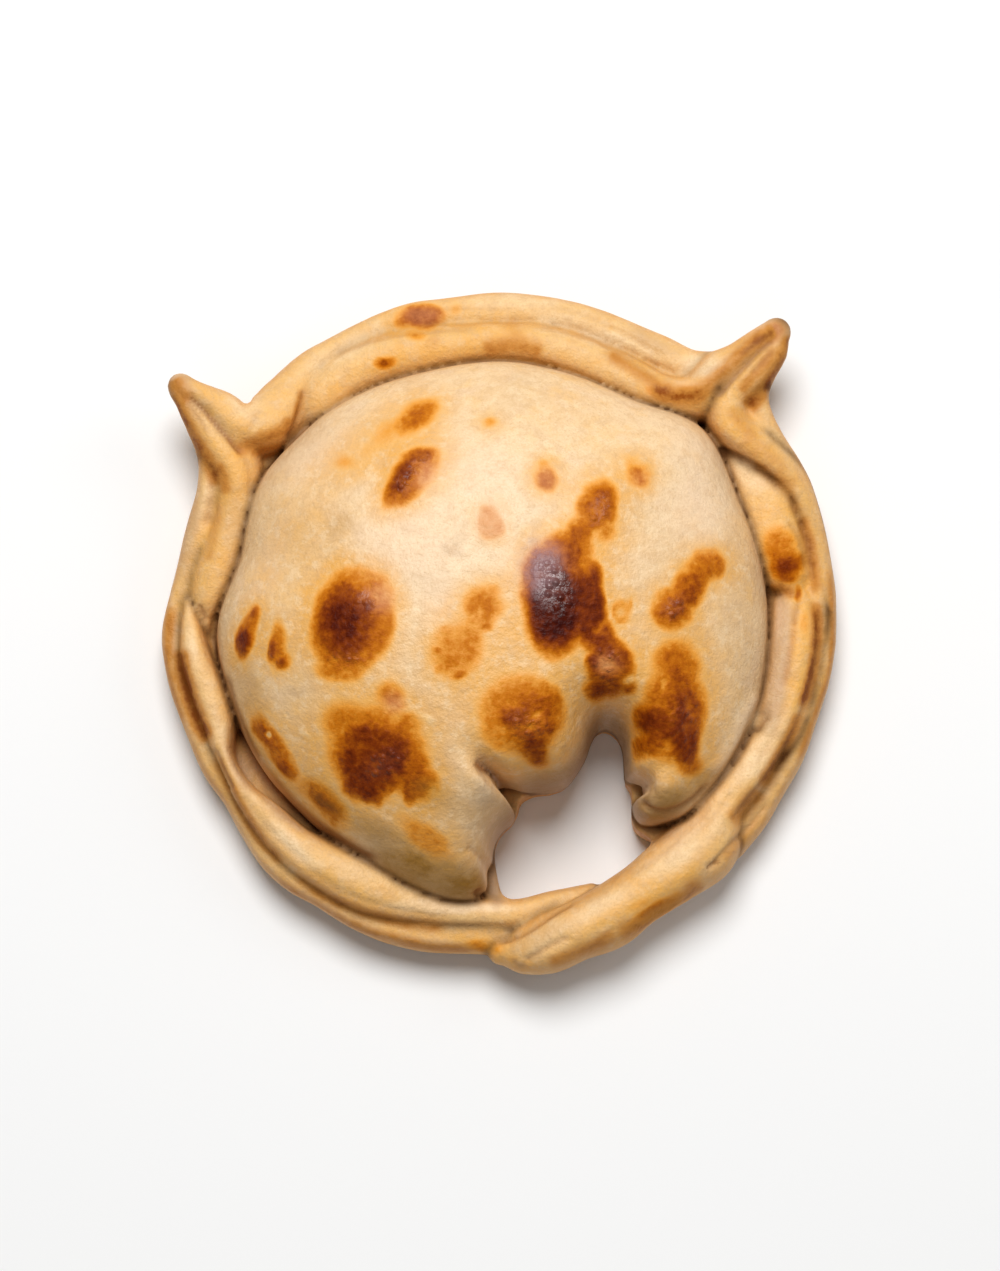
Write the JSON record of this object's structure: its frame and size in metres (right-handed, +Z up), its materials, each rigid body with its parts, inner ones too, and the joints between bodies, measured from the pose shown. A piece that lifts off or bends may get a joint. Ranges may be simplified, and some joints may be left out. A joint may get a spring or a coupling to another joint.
{
  "type": "empanada",
  "caption": "Baked hat-shaped empanada: puffed round pocket bent into a ring, folded doubled rim with pinched horns, a through gap at the front, blistered brown crust.",
  "frame": {"origin": "centre of the bounding box's footprint, on the underside that rests on the table", "axes": "+Z up out of the dome; -Y towards the front, where the folded rim's ends cross and the gap lies; +Y towards the back, where the pinched horns are; +X to the right seen from the front"},
  "size_m": [0.113, 0.1164, 0.034],
  "materials": {
    "crust": "baked dough: pale cream, golden on the ridges, with dark brown burnt blisters that shine a little"
  },
  "bodies": {
    "root": {"empanada": "crust"}
  },
  "joints": []
}
